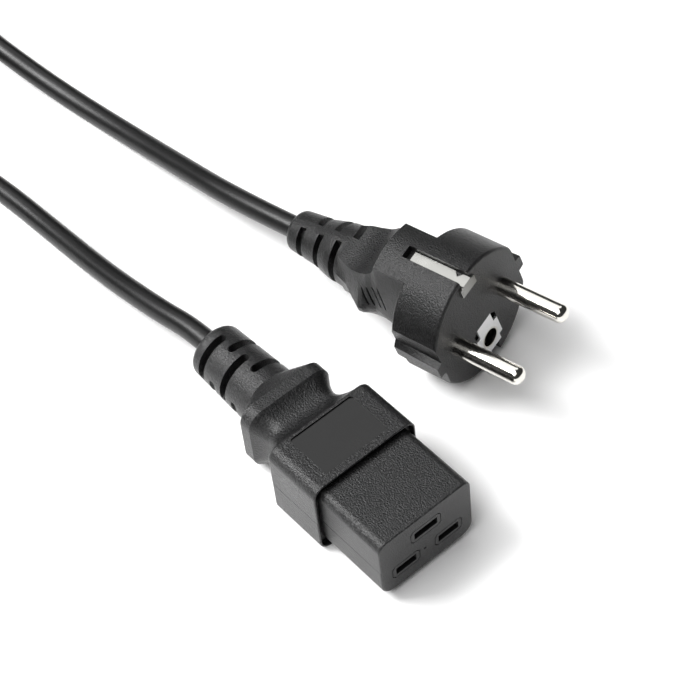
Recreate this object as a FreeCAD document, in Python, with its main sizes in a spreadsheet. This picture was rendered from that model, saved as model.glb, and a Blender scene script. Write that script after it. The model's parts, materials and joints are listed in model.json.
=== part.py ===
# A mains cord set: a C19 connector, a three-core cord and a CEE 7/7 plug.
# Millimetres. The origin is the centre of the connector's mating face, +X is the way the connector
# is pushed into its inlet, and +Z is up. The cord set lies on a level surface under the connector.
import FreeCAD
import Part
import Sketcher

import math
import os

from FreeCAD import Placement, Rotation, Vector


sizes = {
    # connector, nose
    "nose_length": 20.5,
    "nose_width": 27.9,
    "nose_height": 19.2,
    "nose_top_radius": 2.4,
    "nose_bottom_radius": 3.4,
    # connector, collar behind the nose
    "collar_length": 17.0,
    "collar_side": 1.55,
    "collar_over": 1.9,
    "collar_radius": 3.1,
    "collar_ease": 0.9,
    "collar_lip": 0.65,
    "collar_gap_depth": 1.4,
    "rim_radius": 0.4,
    # parting seam along both sides, and the gate mark in the face
    "seam_width": 0.16,
    "seam_depth": 0.15,
    "seam_drop": 0.5,
    "gate_radius": 0.35,
    "gate_depth": 0.6,
    "gate_side": 0.65,
    "gate_drop": 3.1,
    # recessed panel on top of the collar
    "panel_length": 13.3,
    "panel_width": 18.9,
    "panel_depth": 0.35,
    "panel_radius": 0.9,
    "panel_margin": 1.3,
    # waist and finger flange
    "waist_length": 11.0,
    "waist_width": 20.8,
    "waist_height": 15.6,
    "waist_radius": 4.6,
    "flange_length": 3.3,
    "flange_width": 24.8,
    "flange_height": 19.6,
    "flange_radius": 4.5,
    "shoulder_length": 4.2,
    # strain relief of the connector
    "relief_length": 22.5,
    "relief_root": 16.6,
    "relief_tip": 14.9,
    "relief_round": 1.5,
    "relief_core": 9.4,
    "slot_width": 2.2,
    "slot_pitch": 4.42,
    "slot_inset": 4.4,
    "slot_span": 110.0,
    # contact places and slots in the face
    "pole_spacing": 13.0,
    "pole_drop": 3.7,
    "earth_rise": 4.1,
    "pole_slot": 6.1,
    "earth_slot": 6.9,
    "slot_height": 2.2,
    # insert with its towers
    "tower_border": 1.0,
    "tower_height": 4.0,
    "tower_corner": 0.8,
    "tower_length": 9.0,
    "tower_gap": 0.18,
    "tower_gap_depth": 0.5,
    "block_length": 17.0,
    "block_width": 23.0,
    "block_height": 14.6,
    "block_radius": 1.5,
    "slot_depth": 3.0,
    # folded brass contacts
    "contact_wall": 0.4,
    "contact_play": 0.15,
    "contact_length": 15.0,
    "neck_length": 4.5,
    "neck_width": 2.4,
    "crimp_length": 5.0,
    "crimp_radius": 1.2,
    # cord and its cores
    "cord_diameter": 6.0,
    "sheath_bore": 4.2,
    "core_diameter": 1.9,
    "wire_diameter": 1.1,
    "core_straight": 4.0,
    "sheath_grip": 26.0,
    "strip_length": 1.5,
    # plug disc
    "disc_radius": 18.0,
    "disc_length": 13.7,
    "disc_round": 0.8,
    "side_flat": 16.1,
    "rib_root": 2.5,
    "rib_root_back": 5.6,
    "rib_crown": 1.9,
    "rib_reach": 18.0,
    "rib_reach_back": 17.5,
    # plug grip
    "slab_width": 14.2,
    "grip_under": 0.9,
    "groove_width": 0.55,
    "groove_depth": 0.5,
    # strain relief of the plug
    "tail_length": 58.5,
    "tail_root": 16.4,
    "tail_tip": 11.2,
    "tail_round": 1.8,
    "tail_slot": 1.9,
    "tail_pitch": 6.2,
    "tail_first": 40.9,
    "tail_stagger": 3.7,
    "tail_web": 2.4,
    "tail_core": 8.2,
    "tail_grip": 18.0,
    # pins and earth parts of the plug
    "pin_spacing": 19.0,
    "pin_diameter": 4.8,
    "pin_length": 19.0,
    "pin_shank": 4.2,
    "pin_tip": 1.0,
    "earth_hole_drop": 10.0,
    "earth_hole": 5.0,
    "sleeve_wall": 0.5,
    "plate_thickness": 0.6,
    "plate_neck": 5.7,
    "plate_width": 8.6,
    "plate_foot": 6.1,
    "plate_shoulder": 6.4,
    "plate_hip": 12.6,
    "corner_depth": 2.4,
    "plate_top": 2.8,
    "strip_width": 3.0,
    "strip_back": 15.8,
    "strip_slot": 3.4,
    "strip_slot_back": 17.3,
    "strip_sink": 1.7,
    "nick_far": 3.9,
    "nick_near": 1.2,
    "nick_depth": 1.3,
    "lower_slot": 14.6,
    "tab_width": 5.5,
    "tab_low": 12.9,
    "bridge_front": 2.0,
    "bridge_length": 7.0,
    "bridge_radius": 13.4,
    "barrel_radius": 1.7,
    "yoke_width": 4.2,
    # where the plug lies, and the coil
    "plug_x": -35.0,
    "plug_y": 49.8,
    "plug_yaw": 10.7,
    "plug_tilt": 4.7,
    "plug_roll": 13.6,
    "coil_x": -258.6,
    "coil_y": -13.8,
    "coil_radius": 33.0,
    "turn_pitch": 6.2,
    "stub_length": 24.0,
}

# Sections of the grip: distance behind the face, half height, half width of its flat top,
# half width at the middle, and half height of the edge there.
grip_sections = [
    (13.6, 16.2, 7.1, 12.2, 0.8),
    (22.8, 16.2, 7.1, 10.8, 0.8),
    (23.7, 14.4, 7.1, 10.6, 0.8),
    (24.9, 12.7, 7.2, 10.5, 0.8),
    (26.9, 11.3, 7.4, 11.2, 0.8),
    (28.3, 10.2, 7.2, 12.1, 0.8),
    (29.6, 9.4, 7.1, 12.2, 0.8),
    (32.8, 8.3, 6.8, 10.3, 1.0),
    (35.4, 8.3, 6.2, 8.6, 2.4),
    (38.4, 8.2, 5.0, 8.0, 3.8),
]
for place, section in enumerate(grip_sections):
    for name, amount in zip(("x", "top", "flat", "reach", "edge"), section):
        sizes[f"grip_{name}{place}"] = amount

document = FreeCAD.newDocument("c19_cord_set")


def make_sheet():
    sheet = document.addObject("Spreadsheet::Sheet", "sizes")
    for row, (name, number) in enumerate(sizes.items(), start=1):
        sheet.set(f"A{row}", name)
        sheet.set(f"B{row}", str(number))
        sheet.setAlias(f"B{row}", name)
    document.recompute()
    return sheet


class Size:
    # A number together with the spreadsheet expression that it comes from.
    def __init__(self, value, text):
        self.value = float(value)
        self.text = text

    def joined(self, other, sign, value):
        text = other.text if isinstance(other, Size) else repr(float(other))
        return Size(value, f"({self.text} {sign} {text})")

    def __add__(self, other):
        return self.joined(other, "+", self.value + number(other))

    def __sub__(self, other):
        return self.joined(other, "-", self.value - number(other))

    def __mul__(self, other):
        return self.joined(other, "*", self.value * number(other))

    def __truediv__(self, other):
        return self.joined(other, "/", self.value / number(other))

    def __neg__(self):
        return Size(-self.value, f"(0 - {self.text})")


def number(size):
    return size.value if isinstance(size, Size) else float(size)


def size(name):
    return Size(sizes[name], f"sizes.{name}")


def bind(thing, **properties):
    for name, amount in properties.items():
        thing.setExpression(name, amount.text)


# Document helpers: bodies, sketches and features bound to the sheet.


def new_body(name):
    body = document.addObject("PartDesign::Body", name)
    body.Label = name
    return body


def plane(body, role):
    for feature in body.Origin.OriginFeatures:
        if feature.Role == role:
            return feature
    raise ValueError(role)


def new_sketch(body, name, role, distance=None):
    sketch = body.newObject("Sketcher::SketchObject", name)
    sketch.AttachmentSupport = (plane(body, role), [""])
    sketch.MapMode = "FlatFace"
    if distance is not None:
        sketch.setExpression("AttachmentOffset.Base.z", distance.text)
    return sketch


def arc_between(start, end, radius):
    # An arc that bulges to the right of the way from start to end, as on a convex outline drawn
    # anticlockwise; a negative radius bulges to the left.
    half = (end - start) / 2
    across = Vector(-half.y, half.x, 0).normalize()
    depth = math.sqrt(max(radius**2 - half.Length**2, 0.0))
    centre = start + half + across * math.copysign(depth, radius)
    first, last = (start, end) if radius > 0 else (end, start)
    angles = [math.atan2(p.y - centre.y, p.x - centre.x) for p in (first, last)]
    if angles[1] < angles[0]:
        angles[1] += 2 * math.pi
    circle = Part.Circle(centre, Vector(0, 0, 1), abs(radius))
    return Part.ArcOfCircle(circle, *angles)


def draw(sketch, points, arcs=None):
    # A closed outline through points, with the sides named in arcs drawn as arcs of that radius.
    arcs = arcs or {}
    first = sketch.GeometryCount
    flat = [Vector(number(x), number(y), 0) for x, y in points]
    shapes, ends = [], []
    for side, start in enumerate(flat):
        end = flat[(side + 1) % len(flat)]
        radius = arcs.get(side)
        if radius is None:
            shapes.append(Part.LineSegment(start, end))
        else:
            shapes.append(arc_between(start, end, radius.value))
        ends.append((1, 2) if radius is None or radius.value > 0 else (2, 1))
    sketch.addGeometry(shapes, False)
    rules, texts = [], []
    for side, point in enumerate(points):
        after = (side + 1) % len(points)
        rules.append(
            Sketcher.Constraint("Coincident", first + side, ends[side][1], first + after, ends[after][0])
        )
        texts.append(None)
        for kind, axis, amount in (("DistanceX", -2, point[0]), ("DistanceY", -1, point[1])):
            place = (first + side, ends[side][0])
            if number(amount) == 0:
                rules.append(Sketcher.Constraint("PointOnObject", *place, axis))
                texts.append(None)
            elif number(amount) > 0:
                rules.append(Sketcher.Constraint(kind, -1, 1, *place, number(amount)))
                texts.append(amount.text)
            else:
                rules.append(Sketcher.Constraint(kind, *place, -1, 1, -number(amount)))
                texts.append((-amount).text)
        if arcs.get(side) is not None:
            rules.append(Sketcher.Constraint("Radius", first + side, abs(arcs[side].value)))
            texts.append(arcs[side].text if arcs[side].value > 0 else (-arcs[side]).text)
    start = sketch.ConstraintCount
    sketch.addConstraint(rules)
    for place, text in enumerate(texts):
        if text:
            sketch.setExpression(f"Constraints[{start + place}]", text)


def draw_rectangle(sketch, width, height, top, bottom=None, up=None):
    # A rectangle with rounded corners, centred across and raised by up.
    bottom = bottom or top
    half, tall = width / 2, height / 2
    up = up if up is not None else size("rim_radius") * 0
    high, low = up + tall, up - tall
    points = [
        (half, low + bottom),
        (half, high - top),
        (half - top, high),
        (-half + top, high),
        (-half, high - top),
        (-half, low + bottom),
        (-half + bottom, low),
        (half - bottom, low),
    ]
    draw(sketch, points, {1: top, 3: top, 5: bottom, 7: bottom})


def draw_round(sketch, radius, step):
    # A circle in eight arcs, whose ends answer those of a rounded rectangle.
    angles = [-step, step, 90 - step, 90 + step, 180 - step, 180 + step, 270 - step, 270 + step]
    points = [
        (radius * math.cos(math.radians(a)), radius * math.sin(math.radians(a))) for a in angles
    ]
    draw(sketch, points, {side: radius for side in range(8)})


def pad(body, name, sketch, length, reverse=False):
    feature = body.newObject("PartDesign::Pad", name)
    feature.Profile = sketch
    feature.Reversed = reverse
    bind(feature, Length=length)
    return feature


def pocket(body, name, sketch, length, reverse=False):
    feature = body.newObject("PartDesign::Pocket", name)
    feature.Profile = sketch
    feature.Reversed = reverse
    bind(feature, Length=length)
    return feature


def loft(body, name, sketches, ruled=False):
    feature = body.newObject("PartDesign::AdditiveLoft", name)
    feature.Profile = sketches[0]
    feature.Sections = sketches[1:]
    feature.Ruled = ruled
    return feature


def revolve(body, name, sketch, role="X_Axis"):
    feature = body.newObject("PartDesign::Revolution", name)
    feature.Profile = sketch
    feature.ReferenceAxis = (plane(body, role), [""])
    feature.Angle = 360
    return feature


def round_edges(body, name, radius, wanted):
    # A fillet on the edges of the body's tip that the test named wanted picks.
    document.recompute()
    base = body.Tip
    names = [f"Edge{i}" for i, edge in enumerate(base.Shape.Edges, start=1) if wanted(edge)]
    feature = body.newObject("PartDesign::Fillet", name)
    feature.Base = (base, names)
    bind(feature, Radius=radius)
    return feature


def lies_at(axis, place):
    # A test for edges that lie wholly in the plane where axis has the value place.
    def test(edge):
        box = edge.BoundBox
        low, high = getattr(box, axis + "Min"), getattr(box, axis + "Max")
        return abs(low - place) < 0.01 and abs(high - place) < 0.01

    return test


def new_feature(name, shape):
    feature = document.addObject("Part::Feature", name)
    feature.Label = name
    feature.Shape = shape
    return feature


def new_cut(name, base, tools):
    # The base less all the tools, which are joined first.
    fuse = document.addObject("Part::MultiFuse", name + "_tools")
    fuse.Shapes = tools
    cut = document.addObject("Part::Cut", name)
    cut.Base = base
    cut.Tool = fuse if len(tools) > 1 else tools[0]
    if len(tools) == 1:
        document.removeObject(fuse.Name)
    cut.Label = name
    return cut


# Paths of cord and core: straight runs joined by tangent arcs.


def routed(points, share=0.45):
    # The wire through points, with each corner rounded by share of its shorter run.
    edges, radii = [], []
    last = points[0]
    for before, corner, after in zip(points, points[1:], points[2:]):
        back, ahead = (before - corner), (after - corner)
        reach = share * min(back.Length, ahead.Length)
        half_turn = (math.pi - back.getAngle(ahead)) / 2
        radii.append(reach / math.tan(half_turn))
        start = corner + back.normalize() * reach
        end = corner + ahead.normalize() * reach
        middle_way = (back + ahead).normalize()
        rise = radii[-1] * (1 / math.cos(half_turn) - 1)
        edges.append(Part.LineSegment(last, start).toShape())
        edges.append(Part.Arc(start, corner + middle_way * rise, end).toShape())
        last = end
    edges.append(Part.LineSegment(last, points[-1]).toShape())
    return Part.Wire(edges), radii


def swept(points, radius, share=0.45):
    path, radii = routed(points, share)
    circle = Part.Circle(points[0], points[1] - points[0], radius)
    solid = path.makePipeShell([Part.Wire([circle.toShape()])], True, False)
    return solid, radii, path.Length


# Connector: the moulding outside.

nose_end = size("nose_length")
collar_width = size("nose_width") + size("collar_side") * 2
collar_height = size("nose_height") + size("collar_over") * 2
collar_end = nose_end + size("collar_length")
waist_low = collar_end + size("waist_length") * 0.62
flange_front = collar_end + size("waist_length")
flange_back = flange_front + size("flange_length")
shoulder_end = flange_back + size("shoulder_length")
relief_end = shoulder_end + size("relief_length")


def make_connector_outside():
    body = new_body("connector_outside")

    nose = new_sketch(body, "nose_outline", "YZ_Plane")
    draw_rectangle(
        nose, size("nose_width"), size("nose_height"), size("nose_top_radius"), size("nose_bottom_radius")
    )
    pad(body, "nose", nose, nose_end, reverse=True)

    collar = new_sketch(body, "collar_outline", "YZ_Plane", -nose_end)
    draw_rectangle(collar, collar_width, collar_height, size("collar_radius"))
    pad(body, "collar", collar, size("collar_length"), reverse=True)
    ease = size("collar_ease")
    round_edges(body, "collar_back_edge", ease, lies_at("X", -collar_end.value))

    back = new_sketch(body, "waist_front", "YZ_Plane", -collar_end)
    draw_rectangle(back, collar_width - ease * 2, collar_height - ease * 2, size("collar_radius") - ease)
    middle = new_sketch(body, "waist_outline", "YZ_Plane", -waist_low)
    draw_rectangle(middle, size("waist_width"), size("waist_height"), size("waist_radius"))
    front = new_sketch(body, "flange_front", "YZ_Plane", -flange_front)
    flange = (size("flange_width"), size("flange_height"), size("flange_radius"))
    draw_rectangle(front, *flange)
    loft(body, "waist", [back, middle, front])

    band = new_sketch(body, "flange_outline", "YZ_Plane", -flange_front)
    draw_rectangle(band, *flange)
    pad(body, "flange", band, size("flange_length"), reverse=True)

    wide = new_sketch(body, "shoulder_front", "YZ_Plane", -flange_back)
    draw_rectangle(wide, *flange)
    narrow = new_sketch(body, "shoulder_back", "YZ_Plane", -shoulder_end)
    draw_round(narrow, size("relief_root") / 2, 20)
    loft(body, "shoulder", [wide, narrow], ruled=True)

    zero = size("relief_root") * 0
    relief = new_sketch(body, "relief_profile", "XZ_Plane")
    tip = size("relief_tip") / 2
    rounding = size("relief_round")
    draw(
        relief,
        [
            (-relief_end, zero),
            (-shoulder_end, zero),
            (-shoulder_end, size("relief_root") / 2),
            (-relief_end + rounding, tip),
            (-relief_end, tip - rounding),
        ],
        {3: rounding},
    )
    revolve(body, "relief", relief)

    gap = new_sketch(body, "gap_outline", "YZ_Plane", -nose_end)
    lip = size("collar_lip")
    draw_rectangle(
        gap,
        collar_width - lip * 2,
        collar_height - lip * 2,
        size("collar_radius") - lip,
    )
    draw_rectangle(
        gap, size("nose_width"), size("nose_height"), size("nose_top_radius"), size("nose_bottom_radius")
    )
    pocket(body, "collar_gap", gap, size("collar_gap_depth"))

    panel = new_sketch(body, "panel_outline", "XY_Plane", collar_height / 2)
    centre = -(collar_end - size("panel_margin") - size("panel_length") / 2)
    draw_panel(panel, centre)
    pocket(body, "panel", panel, size("panel_depth"))

    round_edges(body, "collar_rim", size("rim_radius") * 0.75, lies_at("X", -nose_end.value))
    round_edges(body, "nose_rim", size("rim_radius"), lies_at("X", 0.0))
    return body


def draw_panel(sketch, centre):
    long, wide, r = size("panel_length") / 2, size("panel_width") / 2, size("panel_radius")
    near, far = centre + long, centre - long
    points = [
        (near, -wide + r),
        (near, wide - r),
        (near - r, wide),
        (far + r, wide),
        (far, wide - r),
        (far, -wide + r),
        (far + r, -wide),
        (near - r, -wide),
    ]
    draw(sketch, points, {1: r, 3: r, 5: r, 7: r})


def make_relief_slots():
    # Slots round the strain relief, two at each place, turned a quarter from one place to the next.
    width, outer = sizes["slot_width"], sizes["relief_root"]
    span = sizes["slot_span"] - math.degrees(width / sizes["relief_tip"] * 2)
    centre, along = Vector(0, 0, 0), Vector(1, 0, 0)
    ring = Part.makeCylinder(outer, width, Vector(-width / 2, 0, 0), along, span)
    ends = []
    for turn in (0, span):
        end = Part.makeCylinder(width / 2, outer, centre, Vector(0, 0, 1))
        end.rotate(centre, along, turn)
        ends.append(end)
    core = Part.makeCylinder(sizes["relief_core"] / 2, width * 2, Vector(-width, 0, 0), along)
    whole = ring.multiFuse(ends).cut(core).Solids[0]
    middle = sector_middle(whole)
    slots = []
    for place in range(4):
        x = -relief_end.value + sizes["slot_inset"] + place * sizes["slot_pitch"]
        for side in range(2):
            slot = whole.copy()
            slot.rotate(centre, along, 135 + 90 * place + 180 * side - middle)
            slot.translate(Vector(x, 0, 0))
            slots.append(slot)
    return new_feature("relief_slots", Part.makeCompound(slots))


def sector_middle(shape):
    # Direction of a ring sector's centre of mass about the X axis, in degrees from +Y towards +Z.
    centre = shape.CenterOfMass
    return math.degrees(math.atan2(centre.z, centre.y))


# Connector: insert, contacts and wiring.

poles = {
    "line": (-size("pole_spacing") / 2, -size("pole_drop"), size("pole_slot")),
    "neutral": (size("pole_spacing") / 2, -size("pole_drop"), size("pole_slot")),
    "earth": (size("pole_spacing") * 0, size("earth_rise"), size("earth_slot")),
}
block_end = size("tower_length") + size("block_length")
crimp_start = size("slot_depth") + size("contact_length") + size("neck_length")
crimp_end = crimp_start + size("crimp_length")


def make_box(name, length, width, height, x, y, z):
    # A box bound to the sheet: its front face is at x, and it is centred on y and z.
    box = document.addObject("Part::Box", name)
    bind(box, Length=length, Width=width, Height=height)
    box.setExpression("Placement.Base.x", (x - length).text)
    box.setExpression("Placement.Base.y", (y - width / 2).text)
    box.setExpression("Placement.Base.z", (z - height / 2).text)
    return box


def make_insert_outside():
    body = new_body("insert_outside")
    block = new_sketch(body, "block_outline", "YZ_Plane", -size("tower_length"))
    draw_rectangle(block, size("block_width"), size("block_height"), size("block_radius"))
    pad(body, "block", block, size("block_length"), reverse=True)
    for pole, (across, up, slot) in poles.items():
        tower = new_sketch(body, f"tower_{pole}", "YZ_Plane")
        wide = slot + size("tower_border") * 2
        draw_tower(tower, across, up, wide, size("tower_height"), size("tower_corner"))
        pad(body, f"tower_pad_{pole}", tower, size("tower_length"), reverse=True)
    return body


def draw_tower(sketch, across, up, width, height, corner):
    # A rectangle with cut corners.
    w, h = width / 2, height / 2
    left, right, low, high = across - w, across + w, up - h, up + h
    points = [
        (right, low + corner),
        (right, high - corner),
        (right - corner, high),
        (left + corner, high),
        (left, high - corner),
        (left, low + corner),
        (left + corner, low),
        (right - corner, low),
    ]
    draw(sketch, points)


def make_tower_gaps():
    # A fine gap round each tower at the face.
    bodies = []
    gap = size("tower_gap")
    for pole, (across, up, slot) in poles.items():
        body = new_body(f"tower_gap_{pole}")
        outline = new_sketch(body, f"gap_outline_{pole}", "YZ_Plane")
        wide = slot + (size("tower_border") + gap) * 2
        draw_tower(outline, across, up, wide, size("tower_height") + gap * 2, size("tower_corner"))
        pad(body, f"gap_pad_{pole}", outline, size("tower_gap_depth"), reverse=True)
        bodies.append(body)
    return bodies


def make_seams():
    # The parting seam on both sides of the nose and of the collar.
    zero = nose_end * 0
    runs = {"nose": (size("nose_width"), nose_end, zero), "collar": (collar_width, size("collar_length"), -nose_end)}
    seams = []
    for name, (across, length, front) in runs.items():
        for hand, side in (("left", 1), ("right", -1)):
            deep, tall = size("seam_depth") * 2, size("seam_width")
            place = across / 2 * side
            seams.append(make_box(f"seam_{name}_{hand}", length, deep, tall, front, place, -size("seam_drop")))
    return seams


def make_insert(outside):
    tools = []
    wall = size("contact_wall") * 2
    play = size("contact_play") * 2
    for pole, (across, up, slot) in poles.items():
        deep = size("slot_depth")
        tools.append(make_box(f"slot_{pole}", deep * 2, slot, size("slot_height"), deep, across, up))
        tools.append(
            make_box(
                f"cavity_{pole}",
                block_end - size("slot_depth"),
                slot + wall + play,
                size("slot_height") + wall + play,
                -size("slot_depth"),
                across,
                up,
            )
        )
    return new_cut("connector_insert", outside, tools)


def make_contact(pole, across, up, slot):
    # A folded socket open at both ends, a neck from its floor, and a crimp barrel.
    wall = size("contact_wall")
    outer = make_box(
        f"socket_{pole}",
        size("contact_length"),
        slot + wall * 2,
        size("slot_height") + wall * 2,
        -size("slot_depth"),
        across,
        up,
    )
    hollow = make_box(
        f"socket_hollow_{pole}",
        size("contact_length") * 2,
        slot,
        size("slot_height"),
        -size("slot_depth") + size("contact_length") / 2,
        across,
        up,
    )
    socket = new_cut(f"socket_cut_{pole}", outer, [hollow])
    neck = make_box(
        f"neck_{pole}",
        size("neck_length") + size("crimp_length") / 2,
        size("neck_width"),
        wall,
        -size("slot_depth") - size("contact_length") + size("crimp_length") / 4,
        across,
        up - size("slot_height") / 2 - wall / 2,
    )
    barrel = document.addObject("Part::Cylinder", f"barrel_{pole}")
    bind(barrel, Radius=size("crimp_radius"), Height=size("crimp_length"))
    barrel.Placement = Placement(Vector(0, 0, 0), Rotation(Vector(0, 1, 0), 90))
    barrel.setExpression("Placement.Base.x", (-crimp_end).text)
    barrel.setExpression("Placement.Base.y", across.text)
    barrel.setExpression("Placement.Base.z", barrel_height(up).text)
    whole = document.addObject("Part::MultiFuse", f"contact_whole_{pole}")
    whole.Shapes = [socket, neck, barrel]
    return whole


def barrel_height(up):
    # Height of a crimp barrel's axis over the face's centre.
    return up - size("slot_height") / 2 - size("contact_wall") + size("crimp_radius")


def core_routes(start_x, bundle_x, ends):
    # Each core runs straight in the sheath, fans out, and ends straight in line with its crimp.
    radius = sizes["core_diameter"] / math.sqrt(3)
    routes = {}
    for pole, angle in (("line", 210), ("neutral", 330), ("earth", 90)):
        y = radius * math.cos(math.radians(angle))
        z = radius * math.sin(math.radians(angle))
        end_x, far_y, far_z = ends[pole]
        routes[pole] = [
            Vector(start_x, y, z),
            Vector(bundle_x, y, z),
            Vector(end_x - sizes["core_straight"], far_y, far_z),
            Vector(end_x, far_y, far_z),
        ]
    return routes


def make_wiring(prefix, routes, reach):
    # Insulated cores, and the copper in them that runs on into the crimps.
    made, bores, envelopes = [], {}, []
    for pole, route in routes.items():
        full = swept(route, sizes["core_diameter"] / 2)[0]
        copper = wire_shape(route, reach)
        envelopes.append(full.fuse(copper))
        bores[pole] = new_feature(f"{prefix}_bore_{pole}", copper)
        made.append(new_feature(f"{prefix}_core_{pole}", full.cut(copper)))
        made.append(new_feature(f"{prefix}_wire_{pole}", copper))
    return made, bores, envelopes


def wire_shape(route, reach):
    # The copper follows its core's path and goes on straight by reach.
    along = swept(route, sizes["wire_diameter"] / 2)[0]
    end = Part.makeCylinder(sizes["wire_diameter"] / 2, reach, route[-1], Vector(1, 0, 0))
    return along.fuse(end).removeSplitter()


def make_sheath_end(name, start_x, end_x):
    # The end of the sheath, which the three cores run through.
    low, ahead, length = Vector(start_x, 0, 0), Vector(1, 0, 0), end_x - start_x
    full = Part.makeCylinder(sizes["cord_diameter"] / 2, length, low, ahead)
    bore = Part.makeCylinder(sizes["sheath_bore"] / 2, length, low, ahead)
    return new_feature(name, full.cut(bore)), full


def make_connector():
    outside = make_connector_outside()
    slots = make_relief_slots()
    insert_outside = make_insert_outside()
    insert = make_insert(insert_outside)

    spread = {pole: (place[0].value, barrel_height(place[1]).value) for pole, place in poles.items()}
    core_tip = -crimp_end.value - sizes["strip_length"]
    ends = {pole: (core_tip, *spread[pole]) for pole in poles}
    routes = core_routes(-relief_end.value, -relief_end.value + sizes["sheath_grip"] + 5, ends)
    reach = sizes["strip_length"] + sizes["crimp_length"]
    wiring, bores, harness = make_wiring("connector", routes, reach)
    start = -relief_end.value
    sheath, sheath_full = make_sheath_end("connector_sheath_end", start, start + sizes["sheath_grip"])

    contacts, wholes = [], []
    for pole, (across, up, slot) in poles.items():
        whole = make_contact(pole, across, up, slot)
        wholes.append(whole)
        contacts.append(new_cut(f"contact_{pole}", whole, [bores[pole]]))

    inside = new_feature("connector_harness", sheath_full.multiFuse(harness))
    gate = make_round(
        "gate_mark", size("gate_radius"), size("gate_depth"), nose_end * 0, -size("gate_side"), -size("gate_drop")
    )
    marks = [*make_tower_gaps(), *make_seams(), gate]
    overmould = new_cut("connector_overmould", outside, [insert_outside, inside, slots, *marks, *wholes])
    return [overmould, insert, *contacts, *wiring, sheath]


# Plug: everything is drawn with the face at x = 0 and then laid down by one placement.

plug_height = (
    -collar_height.value / 2
    + sizes["disc_radius"] * math.cos(math.radians(sizes["plug_tilt"]))
    + sizes["disc_length"] * math.sin(math.radians(sizes["plug_tilt"]))
)
plug_place = Placement(
    Vector(sizes["plug_x"], sizes["plug_y"], plug_height),
    Rotation(sizes["plug_yaw"], -sizes["plug_tilt"], sizes["plug_roll"]),
)

def make_plug_outside():
    body = new_body("plug_outside")
    disc = new_sketch(body, "disc_profile", "XY_Plane")
    zero = size("disc_radius") * 0
    radius, round_off = size("disc_radius"), size("disc_round")
    length = size("disc_length")
    draw(
        disc,
        [
            (-length, zero),
            (zero, zero),
            (zero, radius - round_off),
            (-round_off, radius),
            (-length + round_off, radius),
            (-length, radius - round_off),
        ],
        {2: round_off, 4: round_off},
    )
    revolve(body, "disc", disc)

    flats = new_sketch(body, "side_flats", "YZ_Plane")
    for side in (1, -1):
        near, far = size("side_flat") * side, size("disc_radius") * side * 1.2
        tall = size("disc_radius") * 0.7
        corners = [(near, -tall), (far, -tall), (far, tall), (near, tall)]
        draw(flats, corners[::side])
    pocket(body, "side_flat_cut", flats, size("disc_length") * 2)
    for side in (1, -1):
        ends = []
        for name, place, root, crown, reach in (
            ("front", zero, "rib_root", "rib_crown", "rib_reach"),
            ("back", -length, "rib_root_back", "rib_crown", "rib_reach_back"),
        ):
            end = new_sketch(body, f"rib_{name}_{side + 1}", "YZ_Plane", place)
            inner, outer = (size("side_flat") - size("rib_crown")) * side, size(reach) * side
            root, crown = size(root), size(crown)
            draw(end, [(inner, -root), (inner, root), (outer, crown), (outer, -crown)])
            ends.append(end)
        loft(body, f"rib_{side + 1}", ends, ruled=True)

    sections = []
    for place in range(len(grip_sections)):
        names = ("x", "top", "flat", "reach", "edge")
        x, top, flat, reach, edge = (size(f"grip_{name}{place}") for name in names)
        section = new_sketch(body, f"grip_{place}", "YZ_Plane", -x)
        low = -(top * size("grip_under"))
        draw(
            section,
            [
                (reach, -edge),
                (reach, edge),
                (flat, top),
                (-flat, top),
                (-reach, edge),
                (-reach, -edge),
                (-flat, low),
                (flat, low),
            ],
        )
        sections.append(section)
    loft(body, "grip", sections, ruled=True)

    # The top of the disc runs on over the front of the grip.
    half = size("slab_width") / 2
    brim = Size(
        math.sqrt(sizes["disc_radius"] ** 2 - (sizes["slab_width"] / 2) ** 2),
        "sqrt(sizes.disc_radius ^ 2 - (sizes.slab_width / 2) ^ 2)",
    )
    slab = new_sketch(body, "slab_outline", "YZ_Plane", -length + size("disc_round"))
    draw(slab, [(half, brim), (-half, brim), (-half, zero), (half, zero)], {0: radius})
    pad(body, "slab", slab, size("grip_x1") - length + size("disc_round"), reverse=True)

    profile = new_sketch(body, "tail_profile", "XZ_Plane")
    root, tip = size("tail_root") / 2, size("tail_tip") / 2
    end, start = -size("tail_length"), -size(f"grip_x{len(grip_sections) - 1}")
    step = (start - end) / 4
    draw(
        profile,
        [
            (end, zero),
            (start + size("tail_slot"), zero),
            (start + size("tail_slot"), root),
            (start, root),
            (start - step, root * 0.85 + tip * 0.15),
            (start - step * 2, (root + tip * 2) / 3),
            (end + size("tail_round"), tip),
            (end, tip - size("tail_round")),
        ],
        {6: size("tail_round")},
    )
    revolve(body, "tail", profile)

    slot = new_sketch(body, "clip_slot", "YZ_Plane")
    half, top = size("strip_slot") / 2, size("disc_radius") - size("strip_sink") - size("plate_thickness")
    roof = size("disc_radius") * 1.2
    draw(slot, [(half, top), (half, roof), (-half, roof), (-half, top)])
    pocket(body, "clip_slot_cut", slot, size("strip_slot_back"))
    under = new_sketch(body, "lower_slot", "YZ_Plane")
    floor = -size("lower_slot")
    draw(under, [(half, -roof), (half, floor), (-half, floor), (-half, -roof)])
    pocket(body, "lower_slot_cut", under, size("strip_slot_back"))
    return body


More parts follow.
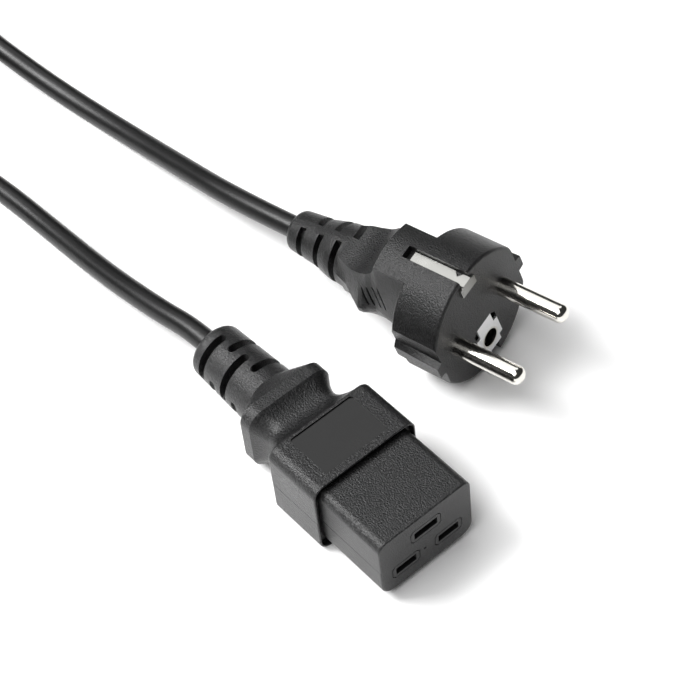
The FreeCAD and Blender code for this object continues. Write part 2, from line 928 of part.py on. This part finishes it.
def make_tail_slots():
    # Slots across the strain relief, cut from either side in turn and stopping at a round core.
    width, tall = sizes["tail_slot"], sizes["tail_root"] * 1.5
    core = Part.makeCylinder(sizes["tail_core"] / 2, 80, Vector(-80, 0, 0), Vector(1, 0, 0))
    slots = []
    for side in (-1, 1):
        for place in range(3):
            x = -sizes["tail_first"] - place * sizes["tail_pitch"]
            x += sizes["tail_stagger"] if side > 0 else 0
            y = sizes["tail_web"] / 2 if side > 0 else -sizes["tail_web"] / 2 - tall
            slot = Part.makeBox(width, tall, tall, Vector(x - width / 2, y, -tall / 2))
            slots.append(slot.cut(core))
    return new_feature("tail_slots", Part.makeCompound(slots))


def grip_side(x, z):
    # Half width of the grip at a distance behind the face and a height.
    for before, after in zip(grip_sections, grip_sections[1:]):
        if before[0] <= x <= after[0]:
            share = (x - before[0]) / (after[0] - before[0])
            top, flat, reach, edge = (a + (b - a) * share for a, b in zip(before[1:], after[1:]))
            return reach + (flat - reach) * (abs(z) - edge) / (top - edge)
    raise ValueError(x)


def make_grip_grooves():
    # Four slanting grooves on each upper and lower slope of the grip.
    deep = sizes["groove_depth"]
    lines = [
        ((28.7, 6.5), (26.7, 1.6)),
        ((27.1, 7.2), (25.2, 1.8)),
        ((25.4, 8.0), (22.8, 2.7)),
        ((23.3, 9.4), (21.1, 3.1)),
    ]
    blades = []
    for (x0, z0), (x1, z1) in lines:
        inner = [Vector(-x, grip_side(x, z) - deep, z) for x, z in ((x0, z0), (x1, z1))]
        outer = [p + Vector(0, 3, 0) for p in reversed(inner)]
        blade = Part.Face(Part.makePolygon(inner + outer + inner[:1]))
        blades.append(blade.extrude(Vector(sizes["groove_width"], 0, 0)))
    grooves = []
    for blade in blades:
        across = blade.mirror(Vector(0, 0, 0), Vector(0, 1, 0))
        grooves += [blade, across]
    return new_feature("grip_grooves", Part.makeCompound(grooves))


def make_pin(name, across):
    # A solid pin with a stepped shank in the bridge and a crimp barrel behind it.
    body = new_body(name + "_whole")
    profile = new_sketch(body, name + "_profile", "XY_Plane")
    zero = size("pin_diameter") * 0
    radius, length = size("pin_diameter") / 2, size("pin_length")
    back = size("bridge_front") + size("bridge_length")
    end = back + size("crimp_length")
    dome, tip = size("pin_diameter") / 2 * 0.75, size("pin_tip") / 2
    fall = radius - tip
    draw(
        profile,
        [
            (-end, zero),
            (length, zero),
            (length, tip),
            (length - dome, radius),
            (zero, radius),
            (zero, size("pin_shank") / 2),
            (-back, size("pin_shank") / 2),
            (-back, size("barrel_radius")),
            (-end, size("barrel_radius")),
        ],
        {2: (dome * dome + fall * fall) / (fall * 2)},
    )
    revolve(body, name + "_turned", profile)
    body.Placement = Placement(Vector(0, across.value, 0), Rotation())
    return body


def make_strap():
    # One bent strip: over the face, along the top, down behind the bridge and forward below.
    body = new_body("earth_strap")
    thick = size("plate_thickness")
    zero = thick * 0
    top = size("disc_radius") - size("strip_sink")
    low = -size("lower_slot") - thick
    back = -size("strip_back")
    profile = new_sketch(body, "strap_profile", "XZ_Plane", size("strip_width") / 2)
    draw(
        profile,
        [
            (thick, size("tab_low")),
            (thick, top),
            (back, top),
            (back, low),
            (-thick * 2, low),
            (-thick * 2, low + thick),
            (back + thick, low + thick),
            (back + thick, top - thick),
            (zero, top - thick),
            (zero, size("tab_low")),
        ],
    )
    pad(body, "strap", profile, size("strip_width"), reverse=True)
    tab = new_sketch(body, "tab_outline", "YZ_Plane", thick)
    half = size("tab_width") / 2
    draw(tab, [(half, size("tab_low")), (half, top - thick), (-half, top - thick), (-half, size("tab_low"))])
    pad(body, "tab", tab, thick, reverse=True)
    nick = new_sketch(body, "nick_outline", "XY_Plane", top)
    edge, far, near = size("strip_width") / 2, size("nick_far"), size("nick_near")
    draw(nick, [(-far, edge * 1.1), (-(far + near) / 2, edge - size("nick_depth")), (-near, edge * 1.1)])
    pocket(body, "nick", nick, thick)
    return body


def plate_corners():
    # Half the outline of the earth plate, from the middle of its top to the middle of its foot.
    neck, half, foot = (size(name) / 2 for name in ("plate_neck", "plate_width", "plate_foot"))
    heights = ("plate_top", "plate_shoulder", "plate_hip", "lower_slot")
    top, shoulder, hip, low = (-size(name) for name in heights)
    return [(neck, top), (neck, shoulder), (half, shoulder), (half, hip), (foot, hip), (foot, low)]


def make_plate():
    # The earth plate in the face, with square shoulders and a hole for the sleeve.
    body = new_body("earth_plate_whole")
    outline = new_sketch(body, "plate_outline", "YZ_Plane")
    right = plate_corners()
    draw(outline, right + [(-y, z) for y, z in reversed(right)])
    pad(body, "plate", outline, size("plate_thickness"), reverse=True)
    return body


def make_plate_corners():
    # The two open corners of the moulding above the plate's shoulders.
    body = new_body("plate_corners")
    outline = new_sketch(body, "corner_outline", "YZ_Plane")
    (neck, top), (_, shoulder), (half, _) = plate_corners()[:3]
    high = top - size("corner_depth") / 2
    for side in (1, -1):
        corners = [(neck * side, shoulder), (half * side, shoulder), (half * side, high), (neck * side, top)]
        draw(outline, corners[::side])
    pad(body, "corners", outline, size("corner_depth"), reverse=True)
    return body


def make_round(name, radius, length, x, y, z):
    # A cylinder along X from x backwards.
    rod = document.addObject("Part::Cylinder", name)
    bind(rod, Radius=radius, Height=length)
    rod.Placement = Placement(Vector(0, 0, 0), Rotation(Vector(0, 1, 0), 90))
    rod.setExpression("Placement.Base.x", (x - length).text)
    rod.setExpression("Placement.Base.y", y.text)
    rod.setExpression("Placement.Base.z", z.text)
    return rod


def make_plug():
    zero = size("disc_radius") * 0
    thick = size("plate_thickness")
    outside = make_plug_outside()
    tail_slots = make_tail_slots()
    grooves = make_grip_grooves()
    pins = {
        "line": make_pin("plug_pin_line", -size("pin_spacing") / 2),
        "neutral": make_pin("plug_pin_neutral", size("pin_spacing") / 2),
    }
    strap = make_strap()
    plate_whole = make_plate()
    corners = make_plate_corners()
    drop = -size("earth_hole_drop")
    inner = size("earth_hole") / 2
    back = -size("strip_back")
    through = size("disc_length")
    tube = make_round("sleeve_outside", inner + size("sleeve_wall"), -back - thick, zero, zero, drop)
    bore = make_round("sleeve_bore", inner, through * 2, through, zero, drop)
    tall = size("yoke_width") * 2
    foot = make_box("terminal_foot", thick, size("strip_width"), tall, back, zero, zero)
    barrel = size("barrel_radius")
    cup = make_round("terminal_cup", barrel, size("crimp_length"), back - thick, zero, zero)
    terminal_whole = document.addObject("Part::MultiFuse", "terminal_whole")
    terminal_whole.Shapes = [foot, cup]
    front, length = -size("bridge_front"), size("bridge_length")
    bridge_whole = make_round("bridge_outside", size("bridge_radius"), length, front, zero, zero)

    bare = sizes["strip_length"]
    pin_back = -(sizes["bridge_front"] + sizes["bridge_length"] + sizes["crimp_length"])
    earth_back = -(sizes["strip_back"] + sizes["plate_thickness"] + sizes["crimp_length"])
    side = sizes["pin_spacing"] / 2
    ends = {
        "line": (pin_back - bare, -side, 0.0),
        "neutral": (pin_back - bare, side, 0.0),
        "earth": (earth_back - bare, 0.0, 0.0),
    }
    start = -sizes["tail_length"]
    routes = core_routes(start, start + sizes["tail_grip"] + 6.8, ends)
    reach = bare + sizes["crimp_length"] - 0.2
    wiring, bores, harness = make_wiring("plug", routes, reach)
    sheath, sheath_full = make_sheath_end("plug_sheath_end", start, start + sizes["tail_grip"])
    inside = new_feature("plug_harness", sheath_full.multiFuse(harness))

    metal = [*pins.values(), strap, plate_whole, tube, bore, terminal_whole]
    hollows = [bridge_whole, inside, tail_slots, grooves, corners]
    overmould = new_cut("plug_overmould", outside, metal + hollows)
    bridge = new_cut("plug_bridge", bridge_whole, [*pins.values(), tube])
    made = [overmould, bridge]
    for pole, pin in pins.items():
        made.append(new_cut(f"plug_pin_{pole}", pin, [bores[pole]]))
    made.append(new_cut("plug_earth_plate", plate_whole, [tube, bore]))
    made.append(new_cut("plug_earth_sleeve", tube, [bore]))
    made.append(new_cut("plug_earth_clip", strap, [bore]))
    made.append(new_cut("plug_earth_terminal", terminal_whole, [bores["earth"]]))
    made += [*wiring, sheath]
    document.recompute()
    for thing in made:
        thing.Placement = plug_place
    return made


# Cord: from the connector to the coil, and from the coil to the plug.


def coil_exits():
    # Where the cord's two ends leave the coil, with a straight stub on each.
    centre = Vector(sizes["coil_x"], sizes["coil_y"], 0)
    outer = sizes["coil_radius"] + sizes["turn_pitch"]
    low = -collar_height.value / 2 + sizes["cord_diameter"] / 2
    exits = []
    for angle, way, height in ((-45, -1, low), (90, 1, low + sizes["turn_pitch"])):
        a = math.radians(angle)
        tangent = Vector(math.sin(a), -math.cos(a), 0) * way
        touch = centre + Vector(math.cos(a), math.sin(a), 0) * outer + Vector(0, 0, height)
        exits.append((touch, touch + tangent * sizes["stub_length"], tangent))
    return centre, exits


def make_coil():
    # The wound turns stand as one ring with a rounded section.
    centre, exits = coil_exits()
    inner = sizes["coil_radius"] - sizes["turn_pitch"] * 1.5
    low, tall = -collar_height.value / 2, sizes["turn_pitch"] + sizes["cord_diameter"]
    across = sizes["turn_pitch"] * 3
    ring = Part.makeCylinder(inner + across, tall, centre + Vector(0, 0, low))
    ring = ring.cut(Part.makeCylinder(inner, tall, centre + Vector(0, 0, low)))
    ring = ring.makeFillet(sizes["cord_diameter"] * 0.45, [e for e in ring.Edges if e.isClosed()])
    stubs = []
    for touch, end, tangent in exits:
        radius = sizes["cord_diameter"] / 2
        stubs.append(Part.makeCylinder(radius, sizes["stub_length"], touch, end - touch))
    return new_feature("cord_coil", ring.multiFuse(stubs).removeSplitter())


def make_cord():
    centre, exits = coil_exits()
    low = -collar_height.value / 2 + sizes["cord_diameter"] / 2
    radius = sizes["cord_diameter"] / 2
    first = [
        Vector(-relief_end.value, 0, 0),
        Vector(-87, 0, 0),
        Vector(-99.5, -1.6, -1.7),
        Vector(-122, -2.5, -5.3),
        Vector(-146, -2.3, -8.3),
        Vector(-168, -3.2, low),
        Vector(-186, -5.6, low),
        Vector(-204, -14.6, low),
        exits[0][1],
    ]
    tail = -sizes["tail_length"]
    second = [
        exits[1][1],
        exits[1][1] + exits[1][2] * 21,
        Vector(-190.1, 30.4, low),
        Vector(-165.3, 33.5, low),
        Vector(-139.6, 34.6, -4.4),
        plug_place.multVec(Vector(tail - 21, 0, 0)),
        plug_place.multVec(Vector(tail, 0, 0)),
    ]
    made = [make_coil()]
    for name, points in (("cord_connector_run", first), ("cord_plug_run", second)):
        solid, radii, length = swept(points, radius)
        section = math.pi * radius**2
        print(name, "radii", [round(r, 1) for r in radii], "length", round(length, 1))
        if abs(solid.Volume / (section * length) - 1) > 0.02:
            raise RuntimeError(f"{name} folds on itself")
        made.append(new_feature(name, solid))
    return made


def check(objects):
    # Every feature of the document computed, and every sub-part is sound.
    for thing in document.Objects:
        if "Invalid" in thing.State or "Error" in thing.State:
            raise RuntimeError(f"{thing.Label} did not compute: {thing.State}")
    for thing in objects:
        if thing.Shape.isNull() or not thing.Shape.isValid() or not thing.Shape.Solids:
            raise RuntimeError(f"{thing.Label} is not a sound solid")


def main():
    make_sheet()
    connector = make_connector()
    plug = make_plug()
    cord = make_cord()
    document.recompute()
    parts = connector + plug + cord
    check(parts)
    os.makedirs("parts", exist_ok=True)
    for part in parts:
        part.Shape.exportStep(f"parts/{part.Label}.step")
    print(len(parts), "parts")


main()
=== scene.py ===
# A C19 connector on its cord, with the CEE 7/7 plug at the other end. Metres, Z up.
import json
import math

import bpy
from mathutils import Matrix, Vector


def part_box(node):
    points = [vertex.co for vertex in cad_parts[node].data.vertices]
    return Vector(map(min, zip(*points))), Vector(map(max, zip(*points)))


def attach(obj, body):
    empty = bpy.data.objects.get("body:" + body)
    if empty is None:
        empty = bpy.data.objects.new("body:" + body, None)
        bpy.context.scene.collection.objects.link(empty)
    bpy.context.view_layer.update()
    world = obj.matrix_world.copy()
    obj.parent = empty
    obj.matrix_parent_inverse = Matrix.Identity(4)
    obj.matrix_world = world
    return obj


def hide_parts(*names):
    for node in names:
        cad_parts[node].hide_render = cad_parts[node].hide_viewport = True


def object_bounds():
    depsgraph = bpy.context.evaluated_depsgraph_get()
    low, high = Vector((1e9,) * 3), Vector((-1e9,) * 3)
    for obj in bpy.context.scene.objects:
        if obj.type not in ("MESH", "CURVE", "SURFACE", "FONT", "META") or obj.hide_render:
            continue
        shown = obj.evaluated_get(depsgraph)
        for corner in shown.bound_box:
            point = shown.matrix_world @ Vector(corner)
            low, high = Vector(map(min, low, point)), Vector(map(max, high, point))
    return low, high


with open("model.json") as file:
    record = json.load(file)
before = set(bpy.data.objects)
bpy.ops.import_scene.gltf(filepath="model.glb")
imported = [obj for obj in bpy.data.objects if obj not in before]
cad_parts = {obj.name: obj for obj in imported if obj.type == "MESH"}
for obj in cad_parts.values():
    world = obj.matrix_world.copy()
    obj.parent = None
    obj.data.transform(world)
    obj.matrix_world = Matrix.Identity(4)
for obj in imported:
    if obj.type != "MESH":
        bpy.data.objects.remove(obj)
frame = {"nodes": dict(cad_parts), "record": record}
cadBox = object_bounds()
print("frame loaded:", len(frame["nodes"]), "nodes")

shot = {
    "place": (0.22133, -0.17192, 0.41041),
    "turn": (39.277, 4.443, 49.237),
    "lens": 111.34,
    "sensor": 36,
    "nearest": 0.01,
}


def addCamera():
    bpy.ops.object.camera_add(location=shot["place"])
    camera = bpy.context.object
    camera.name = "camera"
    camera.rotation_euler = [math.radians(a) for a in shot["turn"]]
    camera.data.lens = shot["lens"]
    camera.data.sensor_width = shot["sensor"]
    camera.data.clip_start = shot["nearest"]
    bpy.context.scene.camera = camera


addCamera()


# Small helpers for materials.

def newMaterial(name):
    material = bpy.data.materials.new(name)
    material.use_nodes = True
    return material, material.node_tree.nodes["Principled BSDF"]


def setSockets(shader, **values):
    for name, value in values.items():
        shader.inputs[name.replace("_", " ")].default_value = value


def dress(target, *materials):
    target.data.materials.clear()
    for material in materials:
        target.data.materials.append(material)


# Cord: the route's points, then the coil's turns, then on to the plug.

cord = {
    "diameter": 0.006,
    "length": 1.5,
    "coilCentre": (-0.2586, -0.0138),
    "coilRadius": 0.0330,
    "turnPitch": 0.0062,
    "floorCentre": -0.0085,
    "pointsPerTurn": 24,
    "turns": 5.625,
    "startAngle": -45.0,
    "inwardSteps": [(0.85, 1.02), (1.85, 2.02)],
    "riseStep": (2.78, 2.95),
    "outwardSteps": [(3.62, 3.79), (4.62, 4.79)],
    "fromConnector": [
        (-0.0785, 0, 0),
        (-0.087, 0, 0),
        (-0.0995, -0.0016, -0.0017),
        (-0.122, -0.0025, -0.0053),
        (-0.146, -0.0023, -0.0083),
        (-0.168, -0.0032, -0.0085),
        (-0.186, -0.0056, -0.0085),
        (-0.204, -0.0146, -0.0085),
        (-0.2139, -0.0245, -0.0085),
    ],
    "toPlug": [
        (-0.2346, 0.0254, -0.0023),
        (-0.2136, 0.0254, -0.0023),
        (-0.1901, 0.0304, -0.0085),
        (-0.1653, 0.0335, -0.0085),
        (-0.1396, 0.0346, -0.0044),
    ],
    "plugEnd": -0.0585,
    "plugLead": 0.021,
    "smoothness": 8,
    "roundness": 6,
}

plugPlace = {
    "x": -0.035,
    "y": 0.0498,
    "floor": -0.0115,
    "yaw": 10.7,
    "tilt": -4.7,
    "roll": 13.6,
    "disc": 0.018,
    "discLength": 0.0137,
}


def plugMatrix():
    # The plug lies on the back edge of its disc, which sets its height.
    tilt = math.radians(plugPlace["tilt"])
    discHeight = plugPlace["disc"] * math.cos(tilt) - plugPlace["discLength"] * math.sin(tilt)
    turn = (
        Matrix.Rotation(math.radians(plugPlace["yaw"]), 4, "Z")
        @ Matrix.Rotation(tilt, 4, "Y")
        @ Matrix.Rotation(math.radians(plugPlace["roll"]), 4, "X")
    )
    return Matrix.Translation((plugPlace["x"], plugPlace["y"], plugPlace["floor"] + discHeight)) @ turn


def ease(turn, start, end):
    share = min(max((turn - start) / (end - start), 0), 1)
    return share * share * (3 - 2 * share)


def coilPoint(turn):
    # Three turns lie on the floor from outside in, and three more lie on them from inside out.
    pitch = cord["turnPitch"]
    inward = sum(ease(turn, *step) for step in cord["inwardSteps"])
    outward = sum(ease(turn, *step) for step in cord["outwardSteps"])
    radius = cord["coilRadius"] + pitch * (1 - inward + outward)
    radius /= 1 - (2 * math.pi / cord["pointsPerTurn"]) ** 2 / 8    # the spline cuts inside its points
    angle = math.radians(cord["startAngle"] - 360 * turn)
    height = cord["floorCentre"] + pitch * ease(turn, *cord["riseStep"])
    centre = cord["coilCentre"]
    return (centre[0] + radius * math.cos(angle), centre[1] + radius * math.sin(angle), height)


def makeCord():
    points = list(cord["fromConnector"])
    steps = int(cord["pointsPerTurn"] * cord["turns"])
    for step in range(steps + 1):
        points.append(coilPoint(step / cord["pointsPerTurn"]))
    points += cord["toPlug"]
    end = plugMatrix()
    for x in (cord["plugEnd"] - cord["plugLead"], cord["plugEnd"]):
        points.append(end @ Vector((x, 0, 0)))

    curve = bpy.data.curves.new("cord", "CURVE")
    curve.dimensions = "3D"
    spline = curve.splines.new("NURBS")
    spline.points.add(len(points) - 1)
    for target, point in zip(spline.points, points):
        target.co = (*point, 1)
    spline.order_u = 3
    spline.use_endpoint_u = True
    spline.resolution_u = cord["smoothness"]
    curve.bevel_depth = cord["diameter"] / 2
    curve.bevel_resolution = cord["roundness"]
    curve.use_fill_caps = True
    piece = bpy.data.objects.new("cord", curve)
    bpy.context.collection.objects.link(piece)
    return piece


cordPiece = makeCord()
print("cord routed")


# Finishes.

def objectPlace(material):
    return material.node_tree.nodes.new("ShaderNodeTexCoord").outputs["Object"]


def noise(material, place, scale, detail, roughness=0.5):
    pattern = material.node_tree.nodes.new("ShaderNodeTexNoise")
    pattern.inputs["Scale"].default_value = scale
    pattern.inputs["Detail"].default_value = detail
    pattern.inputs["Roughness"].default_value = roughness
    material.node_tree.links.new(place, pattern.inputs["Vector"])
    return pattern.outputs["Fac"]


def mapRange(material, source, low, high, start=0.3, end=0.7):
    nodes, links = material.node_tree.nodes, material.node_tree.links
    tone = nodes.new("ShaderNodeMapRange")
    tone.inputs["From Min"].default_value = start
    tone.inputs["From Max"].default_value = end
    tone.inputs["To Min"].default_value = low
    tone.inputs["To Max"].default_value = high
    links.new(source, tone.inputs["Value"])
    return tone.outputs["Result"]


def mixColour(material, source, first, second):
    nodes, links = material.node_tree.nodes, material.node_tree.links
    colour = nodes.new("ShaderNodeMix")
    colour.data_type = "RGBA"
    colour.inputs["A"].default_value = (*first, 1)
    colour.inputs["B"].default_value = (*second, 1)
    links.new(source, colour.inputs["Factor"])
    return colour.outputs["Result"]


def inBox(material, place, low, high, soft):
    # A mask that is 1 inside a box of Object coordinates and 0 outside it.
    nodes, links = material.node_tree.nodes, material.node_tree.links
    split = nodes.new("ShaderNodeSeparateXYZ")
    links.new(place, split.inputs["Vector"])
    mask = None
    for axis, start, end in zip("XYZ", low, high):
        for edge, outside, inside in ((start, 0, 1), (end, 1, 0)):
            step = mapRange(material, split.outputs[axis], outside, inside, edge - soft, edge + soft)
            if mask is None:
                mask = step
                continue
            both = nodes.new("ShaderNodeMath")
            both.operation = "MULTIPLY"
            links.new(mask, both.inputs[0])
            links.new(step, both.inputs[1])
            mask = both.outputs[0]
    return mask


pvc = {
    "dark": (0.002, 0.002, 0.0022),
    "light": (0.018, 0.018, 0.0185),
    "grain": 2300,
    "grainDetail": 3,
    "grainRoughness": 0.6,
    "grainRange": (0.4, 0.62),
    "depth": 0.00022,
    "cloud": 45,
    "cloudDetail": 3,
    "cloudSpread": 0.05,
    "panelGrain": 0.08,
    # Painted shade: the sunk panel's colour is this share of the grain's mean tone.
    "panelPaintedShade": 0.12,
}


def blackPvc(name, roughness, grain=1.0, strength=1.0, shade=1.0, gloss=0.5, smoothPaintedShadeBox=None):
    material, shader = newMaterial(name)
    nodes, links = material.node_tree.nodes, material.node_tree.links
    setSockets(shader, Specular_IOR_Level=gloss)
    place = objectPlace(material)
    spark = noise(material, place, pvc["grain"] * grain, pvc["grainDetail"], pvc["grainRoughness"])
    cloud = noise(material, place, pvc["cloud"], pvc["cloudDetail"])
    bump = nodes.new("ShaderNodeBump")
    bump.inputs["Strength"].default_value = strength
    bump.inputs["Distance"].default_value = pvc["depth"]
    links.new(spark, bump.inputs["Height"])
    links.new(bump.outputs["Normal"], shader.inputs["Normal"])
    # A weaker grain has its two tones nearer to their mean.
    mean = [(a + b) / 2 * shade for a, b in zip(pvc["dark"], pvc["light"])]
    dark = [m + (a * shade - m) * strength for m, a in zip(mean, pvc["dark"])]
    light = [m + (b * shade - m) * strength for m, b in zip(mean, pvc["light"])]
    colour = mixColour(material, mapRange(material, spark, 0, 1, *pvc["grainRange"]), dark, light)
    rough = mapRange(material, cloud, roughness - pvc["cloudSpread"], roughness + pvc["cloudSpread"])
    if smoothPaintedShadeBox:
        mask = inBox(material, place, *smoothPaintedShadeBox)
        level = mapRange(material, mask, strength, strength * pvc["panelGrain"], 0, 1)
        links.new(level, bump.inputs["Strength"])
        # Painted shade: inside the panel the colour is a darker plain tone, with no grain.
        plainPaintedShade = nodes.new("ShaderNodeMix")
        plainPaintedShade.data_type = "RGBA"
        plainPaintedShade.inputs["B"].default_value = (*[m * pvc["panelPaintedShade"] for m in mean], 1)
        links.new(mask, plainPaintedShade.inputs["Factor"])
        links.new(colour, plainPaintedShade.inputs["A"])
        colour = plainPaintedShade.outputs["Result"]
    links.new(rough, shader.inputs["Roughness"])
    links.new(colour, shader.inputs["Base Color"])
    return material


wear = {
    "detail": 4,
    "smoothest": 0.7,
    "roughest": 1.4,
    "dark": 0.93,
}


def metal(name, colour, roughness, marks):
    material, shader = newMaterial(name)
    links = material.node_tree.links
    setSockets(shader, Metallic=1.0)
    worn = noise(material, objectPlace(material), marks, wear["detail"])
    rough = mapRange(material, worn, roughness * wear["smoothest"], roughness * wear["roughest"])
    links.new(rough, shader.inputs["Roughness"])
    shades = mixColour(material, worn, [c * wear["dark"] for c in colour], colour)
    links.new(shades, shader.inputs["Base Color"])
    return material


coreTone = {
    "roughness": 0.4,
    "cloud": 300,
    "detail": 2,
    "dark": 0.85,
}


def insulation(name, colour):
    material, shader = newMaterial(name)
    setSockets(shader, Roughness=coreTone["roughness"])
    cloud = noise(material, objectPlace(material), coreTone["cloud"], coreTone["detail"])
    shades = mixColour(material, cloud, [c * coreTone["dark"] for c in colour], colour)
    material.node_tree.links.new(shades, shader.inputs["Base Color"])
    return material


# The sunk panel on the collar's top has no grain, and its colour there is darkened as painted shade.

panel = {
    "back": -0.03625,
    "front": -0.0229,
    "halfWidth": 0.0095,
    "below": 0.0006,
    "above": 0.001,
    "softness": 0.00008,
}
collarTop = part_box("connector_overmould")[1][2]
smoothPaintedShadePanel = (
    (panel["back"], -panel["halfWidth"], collarTop - panel["below"]),
    (panel["front"], panel["halfWidth"], collarTop + panel["above"]),
    panel["softness"],
)

finishes = {
    "connector_pvc": blackPvc("connectorPvc", 0.31, smoothPaintedShadeBox=smoothPaintedShadePanel),
    "plug_pvc": blackPvc("plugPvc", 0.32, shade=0.7, gloss=0.37),
    "insert_plastic": blackPvc("insertPlastic", 0.36, strength=0.25),
    "bridge_plastic": blackPvc("bridgePlastic", 0.45, strength=0.2, shade=3.0),
    "cord_sheath": blackPvc("cordSheath", 0.36, grain=0.6, strength=0.2, shade=0.5, gloss=0.4),
    "pin_nickel": metal("pinNickel", (0.78, 0.76, 0.71), 0.14, 900),
    "contact_brass": metal("contactBrass", (0.72, 0.55, 0.25), 0.25, 900),
    "clip_steel": metal("clipSteel", (0.27, 0.27, 0.258), 0.28, 150),
    "plate_metal": metal("plateMetal", (0.80, 0.80, 0.80), 0.45, 1500),
    "copper": metal("copperStrand", (0.75, 0.38, 0.22), 0.3, 1500),
    "core_brown": insulation("coreBrown", (0.12, 0.04, 0.015)),
    "core_blue": insulation("coreBlue", (0.02, 0.10, 0.45)),
    "core_green": insulation("coreGreen", (0.12, 0.32, 0.03)),
}

# Mouldings: each overmould is copied, its facets are merged and its edges softened.

shells = {
    "connector_overmould": {
        "name": "connectorShell",
        "finish": "connector_pvc",
        "smooth": 24,
        "edge": 0.00012,
    },
    "plug_overmould": {
        "name": "plugShell",
        "finish": "plug_pvc",
        "smooth": 24,
        "edge": 0.00012,
    },
}

softening = {
    "weld": 0.000002,
    "flat": 0.5,
    "segments": 2,
    "evenWeight": 100,
}


def softenedCopy(node, name, smooth, edge):
    bpy.ops.object.select_all(action="DESELECT")
    piece = frame["nodes"][node].copy()
    piece.data = piece.data.copy()
    piece.name = name
    piece.data.name = name
    bpy.context.collection.objects.link(piece)
    piece.hide_render = False
    piece.select_set(True)
    bpy.context.view_layer.objects.active = piece
    bpy.ops.object.mode_set(mode="EDIT")
    bpy.ops.mesh.select_all(action="SELECT")
    bpy.ops.mesh.remove_doubles(threshold=softening["weld"])
    bpy.ops.mesh.dissolve_limited(angle_limit=math.radians(softening["flat"]))
    bpy.ops.mesh.customdata_custom_splitnormals_clear()
    bpy.ops.object.mode_set(mode="OBJECT")
    bevel = piece.modifiers.new("softEdge", "BEVEL")
    bevel.width = edge
    bevel.segments = softening["segments"]
    bevel.limit_method = "ANGLE"
    bevel.angle_limit = math.radians(smooth)
    bpy.ops.object.modifier_apply(modifier=bevel.name)
    bpy.ops.object.shade_smooth_by_angle(angle=math.radians(smooth))
    even = piece.modifiers.new("evenNormals", "WEIGHTED_NORMAL")
    even.weight = softening["evenWeight"]
    even.keep_sharp = True
    bpy.ops.object.modifier_apply(modifier=even.name)
    return piece


for node, plan in shells.items():
    shell = softenedCopy(node, plan["name"], plan["smooth"], plan["edge"])
    dress(shell, finishes[plan["finish"]])
    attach(shell, "root")
    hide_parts(node)
    print(plan["name"], "softened:", len(shell.data.polygons), "faces")

slotOf = {part["node"]: part["material_slot"] for part in frame["record"]["subparts"]}
for node, solid in frame["nodes"].items():
    dress(solid, finishes[slotOf[node]])
dress(cordPiece, finishes["cord_sheath"])
print("finishes given")

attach(cordPiece, "root")
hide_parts("cord_connector_run", "cord_coil", "cord_plug_run")


# Studio: a pale floor and three soft lights.

studio = {
    "floorSize": 6.0,
    "floorShade": 0.98,
    "floorRoughness": 0.9,
    "world": 0.04,
    "aim": (-0.06, 0.02, 0),
    "key": ((-0.58, -0.50, 0.95), 11, (0.45, 0.45)),
    "top": ((-0.60, 0.42, 0.90), 2.3, (0.9, 0.6)),
    "over": ((-0.25, -0.62, 1.25), 27, (2.0, 1.1)),
}


def addLight(name, place, power, size):
    bpy.ops.object.light_add(type="AREA", location=place)
    light = bpy.context.object
    light.name = name
    light.data.energy = power
    light.data.shape = "RECTANGLE"
    light.data.size, light.data.size_y = size
    aim = Vector(studio["aim"]) - Vector(place)
    light.rotation_euler = aim.to_track_quat("-Z", "Y").to_euler()


def addStudio():
    bpy.ops.mesh.primitive_plane_add(size=studio["floorSize"], location=(0, 0, cadBox[0][2]))
    floor = bpy.context.object
    floor.name = "floor"
    material, shader = newMaterial("paleFloor")
    shade = studio["floorShade"]
    setSockets(shader, Base_Color=(shade, shade, shade, 1), Roughness=studio["floorRoughness"])
    dress(floor, material)
    for name in ("key", "top", "over"):
        addLight(name, *studio[name])
    world = bpy.data.worlds.new("studioWorld")
    world.use_nodes = True
    world.node_tree.nodes["Background"].inputs["Color"].default_value = (1, 1, 1, 1)
    world.node_tree.nodes["Background"].inputs["Strength"].default_value = studio["world"]
    bpy.context.scene.world = world
    bpy.context.scene.view_settings.view_transform = "Standard"


addStudio()
print("studio lit")

bpy.context.view_layer.update()
